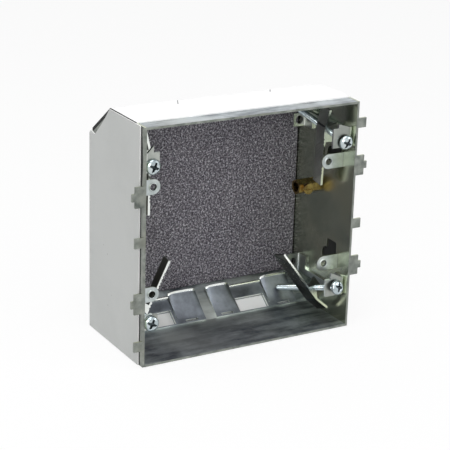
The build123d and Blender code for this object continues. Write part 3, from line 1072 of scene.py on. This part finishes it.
    def cut_walls(self, cells: np.ndarray, metal: np.ndarray) -> np.ndarray:
        """Stands a quad on each side of a metal cell that has no metal beside it.

        Args:
            cells: the top's vertex numbers of each cell.
            metal: which cells are metal.

        Returns:
            One row of four vertex numbers for each quad.
        """
        below = (cells.shape[0] + 1) * (cells.shape[1] + 1)
        ringed = np.pad(metal, 1)
        neighbours = (ringed[:-2, 1:-1], ringed[1:-1, 2:], ringed[2:, 1:-1], ringed[1:-1, :-2])
        walls = []
        for corner, neighbour in enumerate(neighbours):
            bare = cells[metal & ~neighbour]
            first, second = bare[:, corner], bare[:, (corner + 1) % 4]
            walls.append(np.stack((first, second, second + below, first + below), axis=-1))
        return np.concatenate(walls)

    def surfaces(self) -> tuple[np.ndarray, np.ndarray, np.ndarray]:
        """Joins the top, the underside and the cut walls of every cell of metal.

        Returns:
            Points in millimetres, faces, and one material slot for each face.
        """
        across, up = np.meshgrid(*self.lines(), indexing="ij")
        rows, columns = across.shape
        under = self.lift(across, up)
        over = under + self.sheet + self.bead(across, up)
        middle = (across[:-1, :-1] + across[1:, 1:]) / 2, (up[:-1, :-1] + up[1:, 1:]) / 2
        metal = self.kept(*middle)
        cells = grid_faces(rows, columns).reshape(rows - 1, columns - 1, 4)
        top = cells[metal]
        # The crests of the rolled rim and curls wear a painted highlight, and so do the cut walls
        painted_highlight = (self.bead(*middle) > self.highlight_height)[metal]
        walls = self.cut_walls(cells, metal)
        points = [self.carried(across, up, height) for height in (over, under)]
        faces = np.concatenate((top, top[:, ::-1] + rows * columns, walls))
        slots = np.concatenate((painted_highlight, np.zeros(len(top), bool), np.ones(len(walls), bool)))
        return np.concatenate(points), faces, slots.astype(np.int32)

    def build(self, shop: Workshop) -> bpy.types.Object:
        """Builds the clamp and lets it stand for its node.

        Args:
            shop: the frame and the materials.

        Returns:
            The piece.
        """
        points, faces, slots = self.surfaces()
        piece = new_piece(f"pressed_clamp_{self.place}", points * MM, faces)
        piece.data.polygons.foreach_set("material_index", slots)
        close_up(piece)
        smooth_by_angle(piece, self.crisp_degrees)
        # The second coat is a painted highlight
        shop.dress(piece, Coat.ZINC_CLAMP, Coat.ZINC_EDGE_HIGHLIGHT)
        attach(piece, "box")
        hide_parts(f"cable_clamp_{self.place}")
        return piece


@dataclass
class LugCollar:
    """The raised threaded rim that the punch draws up round a device screw hole."""

    name: str
    side: int
    end: int
    across: float = 41.65
    up: float = 23.0
    bore: float = 1.4
    outer: float = 2.0
    height: float = 0.3
    thread_start: float = 0.3
    thread_end: float = 1.0
    thread_step: float = 0.1
    thread_depth: float = 0.1
    around: int = 48

    def crest(self) -> tuple[np.ndarray, np.ndarray]:
        """The section outside the thread: up the outside and over a rounded crest.

        Returns:
            Radii, and heights in front of the lug, in millimetres.
        """
        outer, bore = self.outer, self.bore
        radius = np.array((outer, outer - 0.12, outer - 0.3, bore + 0.25, bore + 0.06))
        return radius, np.array((0.0, 0.55, 1.0, 1.0, 0.75)) * self.height

    def build(self, shop: Workshop) -> bpy.types.Object:
        """Turns the rim's section about the hole: the crest, then the thread as a zigzag of radii.

        Args:
            shop: the frame and the materials.

        Returns:
            The rim.
        """
        crest_radius, crest_front = self.crest()
        depth = np.arange(self.thread_start, self.thread_end, self.thread_step)
        zigzag = self.bore + self.thread_depth * (np.arange(len(depth)) % 2)
        radius = np.concatenate((crest_radius, zigzag))[:, None]
        front = np.concatenate((crest_front, self.thread_start - depth))[:, None]
        across, up, front = turned_points(radius, full_turn(self.around), front).T
        points = np.column_stack((self.side * self.across + across, -front, self.end * self.up + up))
        piece = new_piece(self.name, points * MM, grid_faces(len(radius), self.around, wrap=True))
        # The crest wears the lug's painted shade, and the thread a near-black painted shade
        ring = np.repeat(np.arange(len(radius) - 1), self.around)
        threaded = ring >= len(crest_radius) - 1
        piece.data.polygons.foreach_set("material_index", threaded.astype(np.int32))
        shop.dress(piece, Coat.ZINC_LUG_SHADE, Coat.ZINC_HOLLOW_SHADE)
        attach(piece, "box")
        return piece


@dataclass
class GapShadowStrip:
    """A painted shadow: a near-black strip on the plate beside a side film's cut edge, where the film
    stands off the plate.

    Its places are the depth and the height on the side plate, in millimetres. It lies to the right of
    its line where turned is 1, and to the left where it is -1.
    """

    name: str
    side: int
    start: tuple[float, float]
    end: tuple[float, float]
    width: float
    swell: float = 0.0
    swell_middle: float = 0.0
    swell_length: float = 9.0
    turned: int = 1
    face: float = HALF_WIDTH + 0.03
    rows: int = 60

    def build(self, shop: Workshop) -> bpy.types.Object:
        """Lays a thin strip: its width plus a swell that dies away as a bell curve along the edge.

        Args:
            shop: the frame and the materials.

        Returns:
            The strip.
        """
        start, end = np.array(self.start), np.array(self.end)
        across = right_of(start, end) * self.turned
        near = start + np.linspace(0.0, 1.0, self.rows)[:, None] * (end - start)
        bell = np.exp(-(((near[:, 1] - self.swell_middle) / self.swell_length) ** 2))
        far = near + across * (self.width + self.swell * bell)[:, None]
        flat = np.stack((near, far), axis=1).reshape(-1, 2)
        points = np.column_stack((np.full(len(flat), self.side * self.face), flat)) * MM
        piece = new_piece(self.name, points, grid_faces(self.rows, 2), smooth=False)
        with opened(piece.data) as body:
            for face in body.faces:
                if face.normal.x * self.side < 0.0:
                    face.normal_flip()
        # The strip is a painted shadow
        shop.dress(piece, Coat.SHADOW_CUT)
        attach(piece, "box")
        return piece


@dataclass
class TickMark:
    """One plain printed line on the top film. Its places are the width and the depth on the film."""

    name: str
    start: tuple[float, float]
    end: tuple[float, float]
    half_width: float = 0.16
    level: float = HALF_HEIGHT + 0.52

    def build(self, shop: Workshop) -> bpy.types.Object:
        """Lays a thin flat strip between the two places.

        Args:
            shop: the frame and the materials.

        Returns:
            The strip.
        """
        start, end = np.array(self.start), np.array(self.end)
        across = -right_of(start, end) * self.half_width
        flat = np.array((start - across, end - across, end + across, start + across))
        points = np.column_stack((flat, np.full(4, self.level))) * MM
        piece = new_piece(self.name, points, [(0, 1, 2, 3)], smooth=False)
        shop.dress(piece, Coat.PRINT)
        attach(piece, "box")
        return piece


@dataclass
class MachineScrew:
    """A pan head screw with a cross recess and a real thread, leaning as it hangs.

    Lengths are in millimetres and angles in degrees. The inset and the rise give the bracket's hole
    from the box's side and end, and the leans turn the shank inwards and towards the end.
    """

    place: str
    side: int
    end: int
    inset: float
    rise: float
    lean_in: float
    lean_end: float
    hole_depth: float = -5.6
    seat_gap: float = 0.6
    length: float = 36.5
    shank_radius: float = 1.45
    pitch: float = 0.6
    thread_depth: float = 0.3
    thread_around: int = 28
    rings_in_pitch: int = 6
    tip_share: float = 0.72
    tip_length: float = 0.5
    fade_length: float = 1.2
    fade_least: float = 0.35
    head_radius: float = 3.2
    head_height: float = 1.8
    head_rings: int = 40
    head_around: int = 96
    dome_drop: float = 0.62
    dome_power: int = 5
    ripple_height: float = 0.03
    ripple_rate: float = 9.0
    recess_turn: float = 24.0
    recess_half: float = 0.56
    recess_taper: float = 0.06
    recess_wall: float = 0.14
    recess_depth: float = 1.35
    recess_reach: float = 2.2
    recess_ramp: float = 0.7
    socket_radius: float = 0.95
    socket_wall: float = 0.2
    socket_depth: float = 1.3
    shaded_sink: float = 0.22
    shaded_groove: float = 0.6
    crisp_degrees: float = 55.0

    def axes(self) -> tuple[np.ndarray, np.ndarray, np.ndarray, np.ndarray]:
        """The screw's frame.

        Returns:
            The hole's middle in millimetres, then the two axes across and the axis down the shank.
        """
        inwards = -self.side * tan(radians(self.lean_in))
        endwards = self.end * tan(radians(self.lean_end))
        down = np.array((inwards, 1.0, endwards))
        down /= np.linalg.norm(down)
        across = np.array((down[1], -down[0], 0.0))
        across /= np.linalg.norm(across)
        hole_across = self.side * (HALF_WIDTH - self.inset)
        hole_up = self.end * (HALF_HEIGHT - self.rise)
        middle = np.array((hole_across, self.hole_depth, hole_up))
        return middle, across, np.cross(down, across), down

    def seat(self) -> float:
        """How far the head's underside stands in front of the hole's middle, in millimetres."""
        facing = self.axes()[3][1]
        return (self.seat_gap + self.head_radius * (1.0 - facing**2) ** 0.5) / facing

    def place_points(self, local: np.ndarray) -> np.ndarray:
        """Carries points from the screw's frame to the box's.

        Args:
            local: points in millimetres; the third number runs down the shank from the seat.

        Returns:
            Points in metres.
        """
        middle, across, other, down = self.axes()
        along = local[:, 2:3] - self.seat()
        return (middle + local[:, 0:1] * across + local[:, 1:2] * other + along * down) * MM

    def grooves(self) -> tuple[np.ndarray, np.ndarray, np.ndarray]:
        """The thread's groove: a triangle wave of depth over pitch less the turn, clipped at the crest.

        Returns:
            Depths down the shank, turns about it, and the groove's depth at each, in millimetres.
        """
        rings = int(self.length / self.pitch * self.rings_in_pitch)
        depth = np.linspace(0.0, self.length, rings)[:, None]
        turn = full_turn(self.thread_around)
        wave = np.abs((depth / self.pitch - turn / (2 * pi)) % 1.0 * 2 - 1)
        return depth, turn, self.thread_depth * np.clip(wave * 1.25 - 0.15, 0.0, 1.0)

    def thread(self) -> tuple[np.ndarray, list[tuple[int, ...]]]:
        """The threaded shank: its radius is the crest less the groove, drawn in at the tip.

        Returns:
            Points in millimetres and faces.
        """
        depth, turn, groove = self.grooves()
        left = self.length - depth
        fade = np.clip(left / self.fade_length, self.fade_least, 1.0)
        narrowed = self.tip_share + (1 - self.tip_share) * np.clip(left / self.tip_length, 0.0, 1.0)
        radius = (self.shank_radius - groove * fade) * narrowed
        tip = np.array([[0.0, 0.0, self.length]])
        points = np.vstack((turned_points(radius, turn, depth), tip))
        faces = grid_faces(len(depth), self.thread_around, wrap=True)
        ring = np.arange(self.thread_around)
        last = (len(depth) - 1) * self.thread_around
        after = (ring + 1) % self.thread_around
        lid = np.stack((last + ring, last + after, np.full(len(ring), len(points) - 1)), axis=-1)
        return points, [*map(tuple, faces), *map(tuple, lid)]

    def thread_shade_mask(self) -> np.ndarray:
        """Marks the thread's faces that lie deep in the groove.

        Returns:
            True for each face in painted shade, in the thread's own order.
        """
        deep = cell_means(self.grooves()[2]) > self.shaded_groove * self.thread_depth
        return np.concatenate((deep, np.zeros(self.thread_around, bool)))

    def head_surface(self) -> tuple[np.ndarray, np.ndarray, np.ndarray, np.ndarray]:
        """The head's top as a polar grid: a dome whose cross recess sinks where |x| or |y| is small.

        Returns:
            Places across in two directions, the dome's height and the recess's depth, in millimetres.
        """
        share = np.linspace(0.0, 1.0, self.head_rings)[:, None]
        turn = full_turn(self.head_around)
        radius = self.head_radius * np.sin(share * pi / 2) ** 1.1
        radius[0] = 0.02
        dome = 1 - self.dome_drop * (radius / self.head_radius) ** self.dome_power
        crown = self.head_height * dome + self.ripple_height * np.sin(radius * self.ripple_rate)
        x, y = radius * np.cos(turn), radius * np.sin(turn)
        swing = radians(self.recess_turn)
        u, v = x * cos(swing) + y * sin(swing), y * cos(swing) - x * sin(swing)
        beside, reach = np.minimum(np.abs(u), np.abs(v)), np.maximum(np.abs(u), np.abs(v))
        half = self.recess_half - self.recess_taper * reach
        wall = np.clip((half - beside) / self.recess_wall, 0.0, 1.0)
        arm = self.recess_depth * np.clip((self.recess_reach - reach) / self.recess_ramp, 0.0, 1.0)
        socket = np.clip((self.socket_radius - np.hypot(u, v)) / self.socket_wall, 0.0, 1.0)
        sink = np.maximum(wall * arm, socket * self.socket_depth)
        return x, y, np.broadcast_to(crown, x.shape), sink

    def skirt(self) -> tuple[np.ndarray, np.ndarray]:
        """The head's rim and underside, in to the shank.

        Returns:
            Radii and depths below the seat, one row each, in millimetres.
        """
        neck = self.shank_radius * 0.8 / self.head_radius
        radius = np.array((1.0, 1.0, 0.96, neck)) * self.head_radius
        return radius[:, None], np.array((-0.35, -0.08, 0.0, 0.0))[:, None]

    def head(self) -> tuple[np.ndarray, list[tuple[int, ...]]]:
        """The pan head: its recessed dome, closed by a short skirt and an underside.

        Returns:
            Points in millimetres and faces.
        """
        x, y, crown, sink = self.head_surface()
        top = np.stack((x, y, sink - crown), axis=-1).reshape(-1, 3)
        radius, depth = self.skirt()
        points = np.vstack((top, turned_points(radius, full_turn(self.head_around), depth)))
        faces = grid_faces(self.head_rings + len(radius), self.head_around, wrap=True)
        return points, [tuple(range(self.head_around))[::-1], *map(tuple, faces)]

    def head_shade_mask(self) -> np.ndarray:
        """Marks the head's faces that lie in the recess or under the seat.

        Returns:
            True for each face in painted shade, in the head's own order.
        """
        sunk = cell_means(self.head_surface()[3]) > self.shaded_sink
        under = np.repeat((False, False, True, True), self.head_around)
        return np.concatenate(([True], sunk, under))

    def build(self, shop: Workshop) -> bpy.types.Object:
        """Builds the screw and lets it stand for its node.

        Args:
            shop: the frame and the materials.

        Returns:
            The piece.
        """
        head_points, head_faces = self.head()
        shank_points, shank_faces = self.thread()
        shift = len(head_points)
        points = self.place_points(np.vstack((head_points, shank_points)))
        faces = [*head_faces, *(tuple(np.array(face) + shift) for face in shank_faces)]
        piece = new_piece(f"machine_screw_{self.place}", points, faces)
        close_up(piece)
        smooth_by_angle(piece, self.crisp_degrees)
        # The recess, the head's underside and the deep thread grooves wear painted shade
        shaded_faces = np.concatenate((self.head_shade_mask(), self.thread_shade_mask())).astype(np.int32)
        piece.data.polygons.foreach_set("material_index", shaded_faces[: len(piece.data.polygons)])
        shop.dress(piece, Coat.ZINC_SCREW, Coat.ZINC_HOLLOW_SHADE)
        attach(piece, f"screw_{self.place}")
        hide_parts(f"clamp_screw_{self.place}")
        return piece


@dataclass(frozen=True)
class Lamp:
    """One square soft lamp that faces the box. Lengths are in metres and its power in watts."""

    name: str
    place: tuple[float, float, float]
    size: float
    power: float

    def hang(self) -> None:
        """Hangs the lamp at its place."""
        data = bpy.data.lights.new(self.name, "AREA")
        data.size = self.size
        data.energy = self.power
        lamp = bpy.data.objects.new(self.name, data)
        bpy.context.scene.collection.objects.link(lamp)
        lamp.location = self.place
        lamp.rotation_euler = (-Vector(self.place)).to_track_quat("-Z", "Y").to_euler()


LAMPS: tuple[Lamp, ...] = (
    Lamp("lamp_top", (-0.25, -0.25, 1.2), 0.9, 11.0),
    Lamp("lamp_front", (-0.9, -1.1, 0.55), 0.8, 7.0),
    Lamp("lamp_right", (1.0, -0.9, 0.5), 0.6, 3.0),
)


@dataclass
class Studio:
    """The plain pale floor, the soft light and the camera at the photograph's angle."""

    camera_place: tuple[float, float, float] = (-0.31152, -0.52050, 0.21328)
    azimuth: float = 30.236
    elevation: float = 19.324
    roll: float = 1.707
    lens: float = 123.93
    sensor: float = 36.0
    nearest: float = 0.01
    floor_level: float = -0.0511
    floor_reach: float = 6.0
    floor_colour: Colour = (0.86, 0.86, 0.86)
    floor_shown: float = 0.87
    room_colour: Colour = (0.98, 0.99, 1.0)
    room_strength: float = 0.42
    lamps: tuple[Lamp, ...] = LAMPS

    def camera(self) -> None:
        """Places the camera."""
        turn, dip, roll = radians(self.azimuth), radians(self.elevation), radians(self.roll)
        ahead = Vector((sin(turn) * cos(dip), cos(turn) * cos(dip), -sin(dip)))
        level = Vector((cos(turn), -sin(turn), 0.0))
        up = level.cross(ahead)
        right = level * cos(roll) + up * sin(roll)
        top = up * cos(roll) - level * sin(roll)
        data = bpy.data.cameras.new("camera")
        data.lens = self.lens
        data.sensor_width = self.sensor
        data.clip_start = self.nearest
        camera = bpy.data.objects.new("camera", data)
        bpy.context.scene.collection.objects.link(camera)
        axes = Matrix((right, top, -ahead)).transposed()
        camera.matrix_world = Matrix.Translation(self.camera_place) @ axes.to_4x4()
        bpy.context.scene.camera = camera

    def floor(self) -> None:
        """Lays the floor: nearly white to the camera, with the object's shadow kept."""
        ways = ((-1, -1), (1, -1), (1, 1), (-1, 1))
        reach = self.floor_reach
        points = np.array([(across * reach, deep * reach, self.floor_level) for across, deep in ways])
        floor = new_piece("studio_floor", points, [(0, 1, 2, 3)], smooth=False)
        material = bpy.data.materials.new("studio_floor")
        material.use_nodes = True
        tree = material.node_tree
        tree.nodes.clear()
        output = tree.nodes.new("ShaderNodeOutputMaterial")
        matte = tree.nodes.new("ShaderNodeBsdfDiffuse")
        matte.inputs["Color"].default_value = (*self.floor_colour, 1.0)
        plain = tree.nodes.new("ShaderNodeEmission")
        plain.inputs["Strength"].default_value = 1.0
        share = tree.nodes.new("ShaderNodeMath")
        share.operation = "MULTIPLY"
        share.inputs[1].default_value = self.floor_shown
        mix = tree.nodes.new("ShaderNodeMixShader")
        tree.links.new(self.seen_rays(tree), share.inputs[0])
        tree.links.new(share.outputs[0], mix.inputs["Fac"])
        tree.links.new(matte.outputs["BSDF"], mix.inputs[1])
        tree.links.new(plain.outputs["Emission"], mix.inputs[2])
        tree.links.new(mix.outputs["Shader"], output.inputs["Surface"])
        floor.data.materials.append(material)

    @staticmethod
    def seen_rays(tree: bpy.types.NodeTree) -> Socket:
        """One for rays that see the background: straight from the camera, mirrored or passed through.

        Args:
            tree: the node tree to build in.

        Returns:
            The socket of the share, never above one.
        """
        rays = tree.nodes.new("ShaderNodeLightPath")
        seen = rays.outputs["Is Camera Ray"]
        for name in ("Is Glossy Ray", "Is Transmission Ray"):
            either = tree.nodes.new("ShaderNodeMath")
            either.operation = "MAXIMUM"
            tree.links.new(seen, either.inputs[0])
            tree.links.new(rays.outputs[name], either.inputs[1])
            seen = either.outputs[0]
        return seen

    def world(self) -> None:
        """Fills the room with soft even light and shows white behind the object."""
        world = bpy.data.worlds.new("studio_room")
        bpy.context.scene.world = world
        world.use_nodes = True
        tree = world.node_tree
        tree.nodes.clear()
        output = tree.nodes.new("ShaderNodeOutputWorld")
        room = tree.nodes.new("ShaderNodeBackground")
        room.inputs["Color"].default_value = (*self.room_colour, 1.0)
        room.inputs["Strength"].default_value = self.room_strength
        shown = tree.nodes.new("ShaderNodeBackground")
        shown.inputs["Color"].default_value = (1.0, 1.0, 1.0, 1.0)
        shown.inputs["Strength"].default_value = 1.0
        mix = tree.nodes.new("ShaderNodeMixShader")
        tree.links.new(self.seen_rays(tree), mix.inputs["Fac"])
        tree.links.new(room.outputs["Background"], mix.inputs[1])
        tree.links.new(shown.outputs["Background"], mix.inputs[2])
        tree.links.new(mix.outputs["Shader"], output.inputs["Surface"])

    def build(self) -> None:
        """Sets up the whole studio."""
        self.camera()
        self.floor()
        self.world()
        for lamp in self.lamps:
            lamp.hang()
        bpy.context.scene.view_settings.view_transform = "Standard"


PLAIN_NODES: dict[str, Coat] = {"back_pad": Coat.GRAPHITE}

FILMS: list[BondedFilm] = [
    BondedFilm("top_film", Coat.WHITE_FILM, "white_film"),
    BondedFilm("bottom_film", Coat.WHITE_FILM, "white_film"),
    # The side films' grey is painted shade
    BondedFilm("left_film", Coat.SHADED_SIDE_FILM, "grey_film", side=-1),
    BondedFilm("right_film", Coat.SHADED_SIDE_FILM, "grey_film", side=1),
]

CLAMP_CENTRES: dict[str, float] = {"left": -24.3, "right": 22.3}

CLAMPS: list[CableClamp] = [
    CableClamp(f"{end}_{side}", centre, way)
    for end, way in ENDS.items()
    for side, centre in CLAMP_CENTRES.items()
]

COLLARS: list[LugCollar] = [
    LugCollar(f"lug_collar_{end}_{side}", SIDES[side], way)
    for side in ("right", "left")
    for end, way in ENDS.items()
]

# The front edge of a side film and the sloping edge beside the bevel, as depths and heights
FRONT_EDGE = {"start": (-5.3, -50.4), "end": (-5.3, 50.3), "turned": -1}
FLAP_EDGE = {"start": (22.3, 50.15), "end": (38.8, 37.85), "width": 0.9}

# Near-black strips of painted shadow beside the films' edges
GAP_SHADOWS: list[GapShadowStrip] = [
    GapShadowStrip("film_gap_shadow_left", -1, width=0.9, swell=1.0, swell_middle=36.0, **FRONT_EDGE),
    GapShadowStrip("film_gap_shadow_right", 1, width=0.5, swell=0.3, swell_middle=30.0, **FRONT_EDGE),
    GapShadowStrip("flap_gap_shadow_left", -1, **FLAP_EDGE),
    GapShadowStrip("flap_gap_shadow_right", 1, **FLAP_EDGE),
]

TICKS: list[TickMark] = [
    TickMark("film_tick_left", (-19.8, 21.6), (-22.4, 16.3)),
    TickMark("film_tick_right", (24.5, 21.6), (22.6, 18.4)),
]

SCREWS: list[MachineScrew] = [
    MachineScrew("bottom_right", 1, -1, inset=6.3, rise=18.0, lean_in=14.0, lean_end=17.2),
    MachineScrew("top_right", 1, 1, inset=4.8, rise=17.5, lean_in=0.5, lean_end=8.4),
    MachineScrew("bottom_left", -1, -1, inset=4.8, rise=18.0, lean_in=8.0, lean_end=2.0),
    MachineScrew("top_left", -1, 1, inset=4.8, rise=16.8, lean_in=0.0, lean_end=0.8),
]


def walls() -> list[SoftenedPlate]:
    """Lists the back shell and the side plates.

    Returns:
        The pieces.
    """
    # The walls' front edges, ears, outer faces and lugs wear painted shade
    front_shades = {"edge_coat": Coat.ZINC_FRONT_SHADE, "front_shade_coat": Coat.ZINC_FRONT_SHADE}
    shell = SoftenedPlate("back_shell", "box", Coat.ZINC_SHELL, "zinc_plate", **front_shades)
    lugs = {**front_shades, "inner_shade_coat": Coat.ZINC_LUG_SHADE}
    sides = [
        SoftenedPlate(f"side_plate_{side}", "box", Coat.ZINC_SIDE, "zinc_plate", **lugs)
        for side in ("right", "left")
    ]
    return [shell, *sides]


def earth_terminal() -> list[SoftenedPlate]:
    """Lists the earth pillar and its screw.

    Returns:
        The pieces.
    """
    return [
        SoftenedPlate("earth_pillar", "box", Coat.BRASS, "brass", rounding=0.2 * MM),
        SoftenedPlate("earth_screw", "box", Coat.BRASS, "brass_screw", rounding=0.15 * MM),
    ]


def swing_clamp(end: str, side: str) -> list[SoftenedPlate]:
    """Lists the bracket and the wing of one corner.

    Args:
        end: bottom or top.
        side: left or right.

    Returns:
        The pieces.
    """
    place = f"{end}_{side}"
    # The bottom wings wear a darker copy of the zinc: painted shade
    wing_coat = Coat.ZINC_SHADED_WING if end == "bottom" else Coat.ZINC_WING
    bracket = SoftenedPlate(
        f"clamp_bracket_{place}",
        "box",
        Coat.ZINC_BRACKET,
        "bracket_plate",
        # Edges and rounding in a painted highlight
        edge_coat=Coat.ZINC_EDGE_HIGHLIGHT,
        sheared=1.05 * MM,
    )
    wing = SoftenedPlate(
        f"clamp_wing_{place}",
        f"wing_{place}",
        wing_coat,
        "wing_plate",
        rounding=0.05 * MM,
        edge_coat=Coat.ZINC_EDGE_HIGHLIGHT,
        # Narrow grooves in a painted shade
        inner_shade_coat=Coat.ZINC_HOLLOW_SHADE,
        sheared=1.2 * MM,
        shear_length=12.0 * MM,
        groove=0.4 * MM,
    )
    return [bracket, wing]


def pieces() -> list[Piece]:
    """Lists every piece of the scene, in the order in which they are built.

    Returns:
        The pieces.
    """
    corners = [swing_clamp(end, side) for end in ENDS for side in SIDES]
    plates = [*walls(), *earth_terminal(), *(plate for corner in corners for plate in corner)]
    return [*FILMS, *CLAMPS, *COLLARS, *GAP_SHADOWS, *TICKS, *plates, *SCREWS]


def main() -> None:
    """Builds the studio and every piece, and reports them."""
    logging.basicConfig(level=logging.INFO, format="%(name)s: %(message)s")
    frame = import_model()
    shop = Workshop(frame)
    Studio().build()
    for name, coat in PLAIN_NODES.items():
        shop.dress(frame["nodes"][name], coat)
        LOG.info("dressed %s", name)
    for piece in pieces():
        built = piece.build(shop)
        LOG.info("built %s with %d faces", built.name, len(built.data.polygons))


if __name__ == "__main__":
    main()
